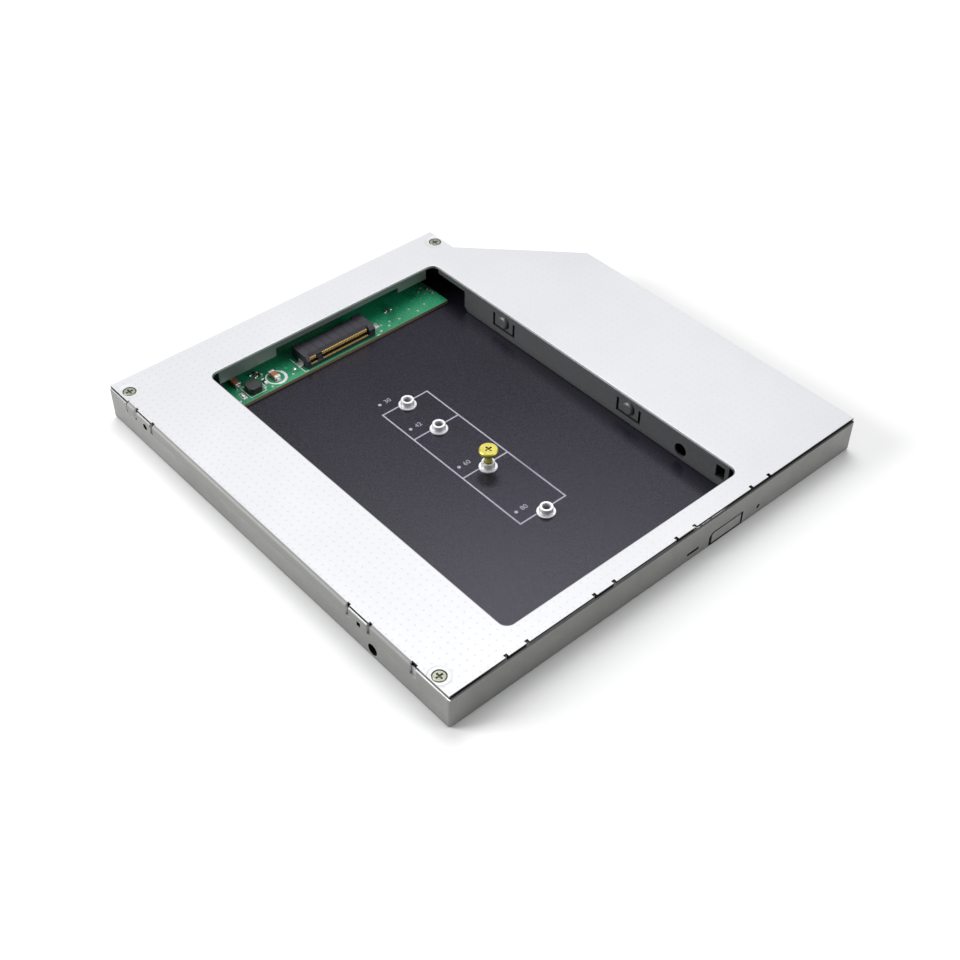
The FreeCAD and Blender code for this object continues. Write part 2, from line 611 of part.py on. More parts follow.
spring = new_body("button_spring")
t = D("spring_gauge")
crown = D("button_flange_back")
foot = D("spring_end")
fl = D("spring_foot_long")
ca, cb, fa, fb = (D("spring_crown_a"), D("spring_crown_b"),
                  D("spring_foot_a"), D("spring_foot_b"))
pad(spring, "spring_strip", "XY", [[
    (ca, crown), (cb, crown), (fb, foot - t), (fb + fl, foot - t), (fb + fl, foot),
    (fb - 0.07, foot), (cb - 0.07, crown + t), (ca + 0.07, crown + t), (fa + 0.07, foot),
    (fa - fl, foot), (fa - fl, foot - t), (fa, foot - t)]],
    D("spring_low"), D("spring_high"))
fillet(spring, "spring_bends", 0.25,
       lambda e: along(e, "z") and (at(e, x=VALUES["spring_foot_a"], tol=0.2)
                                    or at(e, x=VALUES["spring_foot_b"], tol=0.2)))
NODES.append(spring)

bracket = new_body("button_bracket")
bg = D("bracket_gauge")
pad(bracket, "bracket_plate", "XZ", [rect(D("bracket_left"), D("bracket_right"),
                                          D("case_floor"), D("bracket_high"))],
    D("bracket_front"), D("bracket_front") + bg)
pad(bracket, "bracket_foot", "XY", [rect(D("bracket_left"), D("bracket_right"),
                                         D("bracket_front"), D("bracket_foot_end"))],
    D("case_floor"), D("case_floor") + bg)
pocket(bracket, "bracket_openings", "XZ", [
    ("circle", D("guide_left"), D("guide_z"), D("guide_radius") + 0.06),
    ("circle", D("guide_right"), D("guide_z"), D("guide_radius") + 0.06),
    rect(fa - fl - 0.2, fa + 1.5, D("bracket_window_low"), D("bracket_window_high")),
    rect(fb - 1.5, fb + fl + 0.2, D("bracket_window_low"), D("bracket_window_high"))],
    D("bracket_front") - 0.5, D("bracket_front") + bg + 0.5)
pocket(bracket, "bracket_rivet_holes", "XY",
       [("circle", x, y, num(0.62)) for x, y in RIVETS], 0, 3)
NODES.append(bracket)

NODES.append(group("bracket_rivets", [
    fuse("rivet_%d" % i, [
        cyl("rivet_shank_%d" % i, x, y, D("post_foot"), D("case_floor") + bg, 0.6),
        cyl("rivet_head_%d" % i, x, y, D("case_floor") + bg, D("case_floor") + bg + 0.45, 1.0, 0.7)])
    for i, (x, y) in enumerate(RIVETS)]))

# -------------------------------------------------------------------- boards
board_top = D("drive_board_low") + D("board_gauge")
pcb_top = board_top + D("board_gauge")
STANDOFFS = [D("standoff_y_" + n) for n in ("thirty", "fortytwo", "sixty", "eighty")]

drive = new_body("drive_board")
pad(drive, "drive_board_blank", "XY", [
    [(D("drive_board_left"), D("drive_board_front")), (D("drive_board_right"), D("drive_board_front")),
     (D("drive_board_right"), 50), (D("boss_right_x") - 0.6, 50),
     (D("boss_right_x") - 0.6, D("drive_board_rear")), (D("drive_board_left"), D("drive_board_rear"))]]
    + [("circle", D("standoff_x"), y, D("standoff_bore") + 0.2) for y in STANDOFFS]
    + [("circle", x, y, D("post_radius") + 0.2) for x, y, z in POSTS],
    D("drive_board_low"), board_top)
NODES.append(drive)

PEGS = [(D("plug_left") + 1.7, num(58.2)), (D("plug_right") - 1.7, num(58.2))]
converter = new_body("converter_board")
pad(converter, "converter_blank", "XY", [
    rect(D("converter_left"), D("converter_right"), D("converter_front"), D("converter_rear"))]
    + [("circle", x, y, D("board_shank_radius") + 0.15) for x, y, z in POSTS[4:]]
    + [("circle", x, y, num(0.63)) for x, y in PEGS], board_top, pcb_top)
NODES.append(converter)

posts = []
screws = []
for i, (x, y, seat) in enumerate(POSTS):
    posts.append(cut("post_%d" % i,
                     cyl("post_barrel_%d" % i, x, y, D("post_foot"), D("post_top"), D("post_radius")),
                     cyl("post_bore_%d" % i, x, y, D("post_foot") + 0.3, D("post_top") + 0.5,
                         D("board_shank_radius") + 0.02)))
    head_r = D("board_screw_radius") if i < 4 else D("rear_screw_radius")
    screws.append(cross_screw("board_screw_%d" % i, x, y, seat, head_r,
                              D("board_screw_high"), num(0.2), D("board_shank_radius"),
                              D("post_foot") + 0.55, head_r, num(0.4), num(0.35)))
NODES.append(group("board_posts", posts))
NODES.append(group("board_screws", screws))

# ----------------------------------------------------------- module standoffs
items = []
for tag, y in zip(("thirty", "fortytwo", "sixty", "eighty"), STANDOFFS):
    x = D("standoff_x")
    shell = fuse("standoff_shell_" + tag, [
        cyl("standoff_flange_" + tag, x, y, board_top, board_top + D("standoff_flange_high"),
            D("standoff_flange_radius")),
        cyl("standoff_barrel_" + tag, x, y, board_top, board_top + D("standoff_high"),
            D("standoff_radius"))])
    items.append(cut("standoff_" + tag, shell,
                     cyl("standoff_bore_" + tag, x, y, board_top - 0.5,
                         board_top + D("standoff_high") + 0.5, D("standoff_bore"))))
NODES.append(group("ssd_standoffs", items))

# ------------------------------------------------------------- module socket
sz = pcb_top
sl, sr = D("socket_left"), D("socket_right")
sf, sb, sm = D("socket_front"), D("socket_rear"), D("socket_mouth_y")
sh, slip, sslot, send = (D("socket_high"), D("socket_lip_low"),
                         D("socket_slot_low"), D("socket_slot_end"))
socket = new_body("socket_housing")
pad(socket, "socket_bar", "YZ", [[
    (sf, sz), (sb, sz), (sb, sz + sh), (sm + 0.7, sz + sh), (sm, sz + sh - 0.6),
    (sm, sz + slip), (send, sz + slip), (send, sz + sslot), (sf, sz + sslot)]], sl, sr)
cheek = D("socket_cheek")
for tag, a, b in (("left", sl, sl + cheek), ("right", sr - D("socket_cheek_right"), sr)):
    pad(socket, "socket_cheek_" + tag, "YZ", [[
        (sf, sz), (sb, sz), (sb, sz + sh), (sf + 0.9, sz + sh), (sf, sz + sh - 0.9)]], a, b)
pad(socket, "socket_key", "YZ", [rect(sf + 0.5, send, sz + sslot, sz + slip)],
    D("socket_key_a"), D("socket_key_b"))
pocket(socket, "socket_seat", "XY", [rect(sl + 3, sr - 3, sb - 0.9, sb + 1)],
       sz + sh - 0.7, sz + sh + 1)
NODES.append(socket)

p, cw = D("contact_pitch"), D("contact_wide")
FIRST = sl + cheek + 0.35
SLOTS = [FIRST + p * k for k in range(4)] + [D("socket_key_b") + 0.35 + p * k for k in range(30)]
SLOTS = [x for x in SLOTS if x.v < VALUES["socket_right"] - VALUES["socket_cheek_right"] - 0.25]
NODES.append(group("socket_contacts_upper", [
    box("upper_contact_%d" % i, x - cw / 2, x + cw / 2, sm - 0.25, sm,
        sz + slip + 0.05, sz + sh - 0.65) for i, x in enumerate(SLOTS)]))
NODES.append(group("socket_contacts_lower", [
    box("lower_contact_%d" % i, x - cw / 2, x + cw / 2, sf, sf + 0.45,
        sz + sslot, sz + sslot + 0.15) for i, x in enumerate(SLOTS)]))
NODES.append(group("socket_anchors", [
    fuse("socket_anchor_left", [
        box("anchor_left_foot", sl - 1.5, sl, 46.1, 48.1, sz, sz + 0.25),
        box("anchor_left_tab", sl - 0.3, sl, 46.1, 48.1, sz, sz + 1.3)]),
    fuse("socket_anchor_right", [
        box("anchor_right_foot", sr, sr + 2.9, 46.1, 48.1, sz, sz + 0.3),
        box("anchor_right_tab", sr, sr + 0.3, 46.1, 48.1, sz, sz + 1.3)])]))

# ------------------------------------------------- small parts on the board
coil = new_body("power_inductor")
pad(coil, "inductor_block", "XY", [[
    (-35.6, 45.7), (-34.8, 44.9), (-32.5, 44.9), (-31.7, 45.7), (-31.7, 48.1),
    (-32.5, 48.9), (-34.8, 48.9), (-35.6, 48.1)]], pcb_top, pcb_top + 1.7)
fillet(coil, "inductor_round", 0.25, lambda e: abs(e.BoundBox.ZMin - (VALUES["drive_board_low"] + 2 + 1.7)) < 1e-3)
NODES.append(coil)


def chip(name, cx, cy, length, width, height, turned=False):
    """Ceramic chip: a body between two metal end caps, joined in one block."""
    if turned:
        length, width = width, length
    return box(name, cx - length / 2.0, cx + length / 2.0, cy - width / 2.0,
               cy + width / 2.0, pcb_top, pcb_top + height)


NODES.append(group("tan_capacitors", [
    chip("tan_capacitor_a", -26.9, 47.4, 3.2, 1.6, 1.2, True),
    chip("tan_capacitor_b", -36.1, 51.4, 3.2, 1.6, 1.2, True)]))
NODES.append(group("chip_resistors", [
    chip("resistor_a", -29.9, 47.6, 1.6, 0.8, 0.45, True),
    chip("resistor_b", -29.7, 50.4, 1.6, 0.8, 0.45),
    chip("resistor_c", -30.3, 51.9, 1.6, 0.8, 0.45),
    chip("resistor_d", 12.1, 50.3, 1.6, 0.8, 0.45),
    chip("resistor_e", 26.2, 51.2, 1.2, 0.7, 0.45, True),
    chip("resistor_f", 26.1, 49.0, 1.0, 0.6, 0.35, True)]))
regulator = new_body("regulator_chip")
pad(regulator, "regulator_case", "XY", [rect(-43.0, -39.0, 52.5, 56.5)], pcb_top, pcb_top + 1.0)
fillet(regulator, "regulator_round", 0.15,
       lambda e: abs(e.BoundBox.ZMin - (VALUES["drive_board_low"] + 2 + 1.0)) < 1e-3)
NODES.append(regulator)

# ----------------------------------------------------------------- rear plug
pl, pr = D("plug_left"), D("plug_right")
plug = new_body("plug_housing")
pad(plug, "plug_body", "XZ", [rect(pl, pr, D("plug_low"), D("plug_high"))],
    D("converter_rear"), D("plug_back"))
pad(plug, "plug_shelf", "XZ", [rect(pl, pr, pcb_top, D("plug_high"))],
    D("plug_shelf_front"), D("converter_rear"))
tl, th = D("plug_tongue_low"), D("plug_tongue_high")
pad(plug, "plug_tongues", "XZ", [
    [(pl + 1.6, tl), (pl + 10.0, tl), (pl + 10.0, th), (pl + 1.6, th)],
    [(pl + 12.6, tl), (pr - 1.8, tl), (pr - 1.8, th), (pl + 12.6, th)]],
    D("plug_back"), D("plug_mouth"))
pad(plug, "plug_cheeks", "XZ", [
    rect(pl, pl + 0.8, D("plug_low"), D("plug_high")),
    rect(pr - 0.8, pr, D("plug_low"), D("plug_high")),
    rect(pl + 10.8, pl + 11.8, D("plug_low"), D("plug_high") - 1.2)],
    D("plug_back"), D("plug_mouth"))
pad(plug, "plug_floor", "XZ", [rect(pl, pr, D("plug_low"), D("plug_low") + 0.8)],
    D("plug_back"), D("plug_mouth") - 0.2)
NODES.append(plug)

blades = [pl + 2.3 + k * 1.15 for k in range(7)] + [pl + 13.6 + k * 1.55 for k in range(6)]
NODES.append(group("plug_contacts", [
    box("plug_contact_%d" % i, x - 0.35, x + 0.35, D("plug_back"), D("plug_mouth") - 0.25, th, th + 0.12)
    for i, x in enumerate(blades)]))
NODES.append(group("plug_pegs", [
    cyl("plug_peg_%d" % i, x, y, board_top + 0.05, pcb_top, 0.6) for i, (x, y) in enumerate(PEGS)]))

# ------------------------------------------------------------ check and write
doc.recompute()
for obj in doc.Objects:
    bad = [s for s in obj.State if s in ("Invalid", "Error")]
    if bad:
        raise RuntimeError("%s is %s" % (obj.Name, bad))
for node in NODES:
    shape = node.Shape
    if shape.isNull() or not shape.isValid() or not shape.Solids:
        raise RuntimeError("%s has no valid solid" % node.Label)
whole = FreeCAD.BoundBox()
for node in NODES:
    shape = node.Shape
    whole.add(shape.BoundBox)
    shape.exportStep("parts/%s.step" % node.Label)
    print("%-24s %3d solids %10.2f mm3" % (node.Label, len(shape.Solids), shape.Volume))
print("box", whole)
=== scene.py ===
import bpy
import bmesh
import math
import random
from mathutils import Matrix, Vector


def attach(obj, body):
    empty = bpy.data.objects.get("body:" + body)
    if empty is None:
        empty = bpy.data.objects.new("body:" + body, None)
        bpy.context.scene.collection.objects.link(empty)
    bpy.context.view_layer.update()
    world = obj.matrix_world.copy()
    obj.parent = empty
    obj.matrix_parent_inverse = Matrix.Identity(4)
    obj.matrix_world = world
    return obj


# Slim bay caddy for a drive module, in metres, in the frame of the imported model.
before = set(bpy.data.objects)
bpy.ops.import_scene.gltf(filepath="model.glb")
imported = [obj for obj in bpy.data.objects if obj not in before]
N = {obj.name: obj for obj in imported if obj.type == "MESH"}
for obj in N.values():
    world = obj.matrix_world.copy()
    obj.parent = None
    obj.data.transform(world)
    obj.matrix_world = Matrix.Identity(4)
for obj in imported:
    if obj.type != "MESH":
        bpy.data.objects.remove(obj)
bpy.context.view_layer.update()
scene = bpy.context.scene
random.seed(7)
MM = 0.001

# ------------------------------------------------------------------ materials


class Nodes:
    """Short calls for building one material."""

    def __init__(self, name):
        self.m = bpy.data.materials.new(name)
        self.m.use_nodes = True
        self.t = self.m.node_tree
        self.t.nodes.clear()
        self.out = self.t.nodes.new("ShaderNodeOutputMaterial")
        self.b = self.t.nodes.new("ShaderNodeBsdfPrincipled")
        self.link(self.b, "BSDF", self.out, "Surface")
        self.coord = self.t.nodes.new("ShaderNodeTexCoord")

    def link(self, a, i, b, j):
        self.t.links.new(a.outputs[i], b.inputs[j])

    def node(self, kind, **settings):
        n = self.t.nodes.new(kind)
        for k, v in settings.items():
            setattr(n, k, v)
        return n

    def mapped(self, scale):
        m = self.node("ShaderNodeMapping")
        m.inputs["Scale"].default_value = scale
        self.link(self.coord, "Object", m, "Vector")
        return m

    def noise(self, scale, detail=3.0, rough=0.55, stretch=None):
        n = self.node("ShaderNodeTexNoise")
        n.inputs["Scale"].default_value = scale
        n.inputs["Detail"].default_value = detail
        n.inputs["Roughness"].default_value = rough
        src = self.coord if stretch is None else self.mapped(stretch)
        self.link(src, "Object" if stretch is None else "Vector", n, "Vector")
        return n

    def ramp(self, src, out, stops):
        r = self.node("ShaderNodeValToRGB")
        e = r.color_ramp.elements
        while len(e) < len(stops):
            e.new(0.5)
        for k, (pos, col) in enumerate(stops):
            e[k].position = pos
            e[k].color = (col[0], col[1], col[2], 1.0)
        self.link(src, out, r, "Fac")
        return r

    def value(self, src, out, lo, hi, a=0.3, b=0.7):
        m = self.node("ShaderNodeMapRange")
        m.inputs["From Min"].default_value = a
        m.inputs["From Max"].default_value = b
        m.inputs["To Min"].default_value = lo
        m.inputs["To Max"].default_value = hi
        self.link(src, out, m, "Value")
        return m

    def math(self, op, a, b=None, clamp=False):
        m = self.node("ShaderNodeMath", operation=op, use_clamp=clamp)
        for k, x in enumerate((a, b)):
            if x is None:
                continue
            if isinstance(x, tuple):
                self.t.links.new(x[0].outputs[x[1]], m.inputs[k])
            else:
                m.inputs[k].default_value = x
        return (m, "Value")

    def mix(self, fac, a, b, mode="MIX"):
        """Colour mix: fac, a and b are (node, output) pairs or plain values."""
        m = self.node("ShaderNodeMix", data_type="RGBA", blend_type=mode)
        for k, x in ((0, fac), (6, a), (7, b)):
            if isinstance(x, tuple) and len(x) == 2:
                self.t.links.new(x[0].outputs[x[1]], m.inputs[k])
            elif k == 0:
                m.inputs[k].default_value = x
            else:
                m.inputs[k].default_value = (x[0], x[1], x[2], 1.0)
        return (m, 2)

    def bump(self, height, strength, distance, prior=None):
        b = self.node("ShaderNodeBump")
        b.inputs["Strength"].default_value = strength
        b.inputs["Distance"].default_value = distance
        self.t.links.new(height[0].outputs[height[1]], b.inputs["Height"])
        if prior is not None:
            self.t.links.new(prior.outputs["Normal"], b.inputs["Normal"])
        return b

    def top_mask(self):
        """1 where the surface faces up, 0 elsewhere."""
        g = self.node("ShaderNodeNewGeometry")
        s = self.node("ShaderNodeSeparateXYZ")
        self.link(g, "Normal", s, "Vector")
        return self.math("GREATER_THAN", (s, "Z"), 0.9)

    def dimples(self, pitch, x, y, inner, outer):
        """Mask of small round dots on a square grid through (x, y), seen from above."""
        m = self.mapped((1 / pitch, 1 / pitch, 0.0))
        add = self.node("ShaderNodeVectorMath", operation="ADD")
        add.inputs[1].default_value = (100.5 - x / pitch, 100.5 - y / pitch, 0.5)
        self.link(m, "Vector", add, 0)
        fr = self.node("ShaderNodeVectorMath", operation="FRACTION")
        self.link(add, "Vector", fr, 0)
        sub = self.node("ShaderNodeVectorMath", operation="SUBTRACT")
        sub.inputs[1].default_value = (0.5, 0.5, 0.5)
        self.link(fr, "Vector", sub, 0)
        ln = self.node("ShaderNodeVectorMath", operation="LENGTH")
        self.link(sub, "Vector", ln, 0)
        r = self.node("ShaderNodeMapRange", interpolation_type="SMOOTHSTEP")
        r.inputs["From Min"].default_value = outer
        r.inputs["From Max"].default_value = inner
        self.link(ln, "Value", r, "Value")
        return (r, "Result")

    def beyond_x(self, x):
        """1 where the object's own X is larger than x."""
        s = self.node("ShaderNodeSeparateXYZ")
        self.link(self.coord, "Object", s, "Vector")
        return self.math("GREATER_THAN", (s, "X"), x)

    def part(self, src, axis, a, b, smooth=True):
        """0 to 1 as one part of a vector goes from a to b."""
        s = self.node("ShaderNodeSeparateXYZ")
        self.t.links.new(src[0].outputs[src[1]], s.inputs["Vector"])
        r = self.node("ShaderNodeMapRange",
                      interpolation_type="SMOOTHSTEP" if smooth else "LINEAR")
        r.inputs["From Min"].default_value = a
        r.inputs["From Max"].default_value = b
        self.link(s, axis, r, "Value")
        return (r, "Result")

    def place(self, axis, a, b):
        """0 to 1 as the object's own coordinate goes from a to b, in millimetres."""
        return self.part((self.coord, "Object"), axis, a * MM, b * MM)

    def block(self, x=None, y=None, z=None):
        """1 inside a block given in millimetres, 0 outside."""
        m = []
        for axis, span in (("X", x), ("Y", y), ("Z", z)):
            if span is not None:
                m += [self.place(axis, span[0] - 0.02, span[0]), self.place(axis, span[1] + 0.02, span[1])]
        return self.both(*m)

    def disc(self, x, y, a, b):
        """0 to 1 as the distance from (x, y), seen from above, goes from a to b, in millimetres."""
        sub = self.node("ShaderNodeVectorMath", operation="SUBTRACT")
        sub.inputs[1].default_value = (x * MM, y * MM, 0.0)
        self.link(self.coord, "Object", sub, 0)
        flat = self.node("ShaderNodeVectorMath", operation="MULTIPLY")
        flat.inputs[1].default_value = (1.0, 1.0, 0.0)
        self.link(sub, "Vector", flat, 0)
        ln = self.node("ShaderNodeVectorMath", operation="LENGTH")
        self.link(flat, "Vector", ln, 0)
        r = self.node("ShaderNodeMapRange", interpolation_type="SMOOTHSTEP")
        r.inputs["From Min"].default_value = a * MM
        r.inputs["From Max"].default_value = b * MM
        self.link(ln, "Value", r, "Value")
        return (r, "Result")

    def facing(self, axis, a, b):
        """0 to 1 as one part of the surface normal goes from a to b."""
        g = self.node("ShaderNodeNewGeometry")
        return self.part((g, "Normal"), axis, a, b)

    def both(self, *masks):
        m = masks[0]
        for k in masks[1:]:
            m = self.math("MULTIPLY", m, k)
        return m

    def either(self, *masks):
        m = masks[0]
        for k in masks[1:]:
            m = self.math("MAXIMUM", m, k)
        return m

    def shade(self, colour, distance, low, full=0.8):
        """Painted shade: the colour falls off in corners and holes."""
        a = self.node("ShaderNodeAmbientOcclusion", samples=6)
        a.inputs["Distance"].default_value = distance
        r = self.ramp(a, "AO", [(0.0, (low, low, low)), (full, (1.0, 1.0, 1.0))])
        return self.mix(1.0, colour, (r, "Color"), "MULTIPLY")

    def edge_light(self, distance):
        """0 on flat ground, rising to 1 right at an outside edge."""
        a = self.node("ShaderNodeAmbientOcclusion", inside=True, samples=4)
        a.inputs["Distance"].default_value = distance
        inv = self.math("SUBTRACT", 1.0, (a, "AO"), clamp=True)
        return inv


def tone(c, f):
    return tuple(max(0.0, min(1.0, x * f)) for x in c)


def surface(name, base, metallic=0.0, rough=0.45, rvar=0.06, var=0.06, scale=300.0,
            bump=0.08, bscale=2500.0, stretch=None, spec=0.5, coat=0.0, coat_rough=0.1,
            anis=0.0, wear=None, detail=4.0, corner_shade=None, recess_shade=None):
    """Colour, roughness and bump varied by noise at two scales."""
    n = Nodes(name)
    big = n.noise(scale, detail, 0.6, stretch)
    fine = n.noise(bscale, 2.0, 0.6, stretch)
    ramp = n.ramp(big, "Fac", [(0.3, tone(base, 1 - var)), (0.7, tone(base, 1 + var))])
    colour = (ramp, "Color")
    if wear:
        edge = n.edge_light(wear[0])
        edge = n.math("MULTIPLY", edge, wear[1], clamp=True)
        colour = n.mix(edge, colour, wear[2])
    # painted shade: the colour darkens in corners and holes
    if corner_shade:
        colour = n.shade(colour, *corner_shade)
    # the upward floor of the recess is painted darker, a painted shade
    if recess_shade:
        deep = n.both(n.facing("Z", 0.5, 0.8), n.block(z=(recess_shade[0], recess_shade[1])))
        colour = n.mix(deep, colour, recess_shade[2])
    n.t.links.new(colour[0].outputs[colour[1]], n.b.inputs["Base Color"])
    r = n.value(fine, "Fac", rough - rvar, rough + rvar)
    n.link(r, "Result", n.b, "Roughness")
    n.b.inputs["Metallic"].default_value = metallic
    n.b.inputs["Specular IOR Level"].default_value = spec
    n.b.inputs["Coat Weight"].default_value = coat
    n.b.inputs["Coat Roughness"].default_value = coat_rough
    n.b.inputs["Anisotropic"].default_value = anis
    bm = n.bump((fine, "Fac"), bump, 0.00005)
    n.link(bm, "Normal", n.b, "Normal")
    return n


def cover_material():
    n = Nodes("cover_sheet")
    big = n.noise(25.0, 3.0, 0.6)
    grain = n.noise(900.0, 3.0, 0.65, (1.0, 6.0, 1.0))
    fine = n.noise(4500.0, 2.0, 0.6)
    dots = n.dimples(2.0 * MM, -54.6 * MM, -48.05 * MM, 0.07, 0.19)
    top = n.both(n.facing("Z", 0.8, 0.95), n.place("Z", 9.2, 9.35))
    mark = n.math("MULTIPLY", dots, top)
    # the dimples are pressed less deep towards the right
    depth = n.place("X", 40.0, -62.0)
    depth = n.math("MULTIPLY_ADD", depth, 0.13)
    depth[0].inputs[2].default_value = 0.09
    ramp = n.ramp(big, "Fac", [(0.3, (0.630, 0.632, 0.655)), (0.7, (0.675, 0.677, 0.700))])
    fleck = n.ramp(fine, "Fac", [(0.3, (0.95, 0.95, 0.95)), (0.7, (1.0, 1.0, 1.0))])
    base = n.mix(1.0, (ramp, "Color"), (fleck, "Color"), "MULTIPLY")
    # each dimple is also painted darker, a painted shade in the pressed hollow
    dotted = n.mix(n.math("MULTIPLY", mark, depth), base, (0.30, 0.30, 0.32))
    # the folded lip is painted a darker grey than the top by the way it faces, a painted shade
    lip = n.both(n.facing("X", -0.03, -0.40), n.place("X", -60.0, -60.5))
    whole = n.mix(lip, dotted, (0.215, 0.216, 0.206))
    # cut edges are painted dark, a painted shade under the overhang
    cut = n.either(
        n.both(n.facing("X", -0.7, -0.9), n.place("X", -60.0, -60.5), n.place("X", -63.75, -63.6)),
        n.both(n.math("SUBTRACT", 1.0, top), n.place("Y", -61.0, -61.5), n.place("X", -63.3, -63.2)))
    whole = n.mix(cut, whole, (0.045, 0.046, 0.043))
    # the turned-down walls inside are bare and painted darker, a painted shade and reflection of the dark
    # board; the rear one is painted a little lighter and greenish, a painted reflection of the green board
    inner = n.both(n.place("X", -60.5, -60.0), n.math("SUBTRACT", 1.0, top), n.place("Y", -61.5, -61.0))
    painted_inner_shade = n.ramp(grain, "Fac", [(0.3, (0.085, 0.087, 0.090)), (0.7, (0.125, 0.128, 0.131))])
    rim = n.both(n.facing("Y", -0.5, -0.9), n.place("Y", 49.0, 50.0))
    painted_inner_shade = n.mix(rim, (painted_inner_shade, "Color"), (0.19, 0.235, 0.215))
    whole = n.mix(inner, whole, painted_inner_shade)
    # painted shade: the colour falls off in corners and hollows, but not in the side slots
    shaded = n.shade(whole, 2.5 * MM, 0.08)
    whole = n.mix(n.block(x=(-64.2, -63.3), z=(6.2, 9.1)), shaded, whole)
    # the seats of the three screws, and the edge over the front ear, catch the light
    screws = ((-61.5, -57.46), (-61.15, 58.39), (35.92, 58.77))
    seat = n.either(*[n.disc(x, y, 2.0, 1.9) for x, y in screws])
    seat = n.both(seat, n.place("Z", 8.9, 8.95), n.place("Z", 9.47, 9.44))
    ear_edge = n.block((-63.6, -63.2), (-62.75, -53.6), (8.0, 9.47))
    whole = n.mix(n.math("MULTIPLY", n.either(seat, ear_edge), 0.85), whole, (0.34, 0.34, 0.32))
    n.t.links.new(whole[0].outputs[whole[1]], n.b.inputs["Base Color"])
    r = n.value(grain, "Fac", 0.36, 0.46)
    rr = n.math("MULTIPLY_ADD", lip, 0.22)
    n.t.links.new(r.outputs["Result"], rr[0].inputs[2])
    n.link(rr[0], rr[1], n.b, "Roughness")
    metal = n.math("MULTIPLY_ADD", n.either(inner, lip), 0.40)
    metal[0].inputs[2].default_value = 0.14
    n.link(metal[0], metal[1], n.b, "Metallic")
    n.b.inputs["Specular IOR Level"].default_value = 0.5
    b1 = n.bump((grain, "Fac"), 0.05, 0.00004)
    sunk = n.math("SUBTRACT", 1.0, n.math("MULTIPLY", mark, n.math("MULTIPLY", depth, 4.0)))
    b2 = n.bump(sunk, 0.25, 0.00006, b1)
    # the sheet is drawn in a little round each screw
    dish = n.disc(*screws[0], 2.35, 2.75)
    for x, y in screws[1:]:
        dish = n.math("MINIMUM", dish, n.disc(x, y, 2.35, 2.75))
    b3 = n.bump(dish, 1.0, 0.00008, b2)
    n.link(b3, "Normal", n.b, "Normal")
    return n.m


def case_material():
    n = Nodes("case_sheet")
    big = n.noise(40.0, 4.0, 0.6)
    grain = n.noise(1200.0, 3.0, 0.65, (1.0, 1.0, 5.0))
    spangle = n.node("ShaderNodeTexVoronoi")
    spangle.inputs["Scale"].default_value = 420.0
    n.link(n.coord, "Object", spangle, "Vector")
    ramp = n.ramp(big, "Fac", [(0.3, (0.195, 0.196, 0.188)), (0.7, (0.235, 0.236, 0.226))])
    patch = n.ramp(spangle, "Color", [(0.2, (0.94, 0.94, 0.94)), (0.8, (1.0, 1.0, 1.0))])
    base = n.mix(1.0, (ramp, "Color"), (patch, "Color"), "MULTIPLY")
    edge = n.math("MULTIPLY", n.edge_light(0.3 * MM), 0.55, clamp=True)
    wear_and_shade = n.mix(edge, base, (0.45, 0.45, 0.44))
    # the cut rim under the cover is painted dark, a painted shade under the cover's edge; the tops of the
    # ears are painted bright, a painted glint
    up = n.facing("Z", 0.5, 0.8)
    rim = n.both(up, n.place("Z", 8.0, 8.3), n.place("Z", 8.97, 8.93))
    wear_and_shade = n.mix(rim, wear_and_shade, (0.05, 0.05, 0.048))
    ear = n.both(up, n.place("Z", 8.96, 8.99), n.place("X", -63.86, -63.80))
    wear_and_shade = n.mix(n.math("MULTIPLY", ear, 0.9), wear_and_shade, (0.92, 0.92, 0.92))
    # painted shade in corners and hollows; in the side slots it is left off and the colour is painted
    # lighter
    shaded = n.shade(wear_and_shade, 3.0 * MM, 0.12)
    wear_and_shade = n.mix(n.block(x=(-63.98, -63.2), y=(-60.0, 60.0), z=(6.3, 9.2)), shaded, n.mix(0.6, wear_and_shade, (0.55, 0.55, 0.54)))
    # inside the tray is painted near black, a painted shade
    inside = n.block((-62.2, 63.1), (-62.88, 62.6), (0.4, 8.2))
    wear_and_shade = n.mix(n.math("MULTIPLY", inside, 0.85), wear_and_shade, (0.03, 0.03, 0.03))
    # the walls of the holes and slots are in deep shade
    holes = n.either(
        n.block((-63.95, -61.9), (-40.5, -37.3), (1.2, 4.4)),
        n.block((-63.95, -61.9), (46.7, 48.5), (6.0, 7.8)),
        n.block((-63.95, -61.9), (-35.05, -33.75), (6.2, 7.6)),
        n.block((5.6, 9.6), (-63.36, -62.5), (2.1, 3.1)),
        n.block((29.0, 30.4), (-63.36, -62.5), (1.9, 3.3)),
        n.block((12.8, 24.4), (-63.36, -62.5), (0.55, 4.6)))
    wear_and_shade = n.mix(holes, wear_and_shade, (0.006, 0.006, 0.006))
    n.t.links.new(wear_and_shade[0].outputs[wear_and_shade[1]], n.b.inputs["Base Color"])
    r = n.value(grain, "Fac", 0.40, 0.52)
    n.link(r, "Result", n.b, "Roughness")
    n.b.inputs["Metallic"].default_value = 0.5
    b1 = n.bump((grain, "Fac"), 0.06, 0.00004)
    n.link(b1, "Normal", n.b, "Normal")
    return n.m


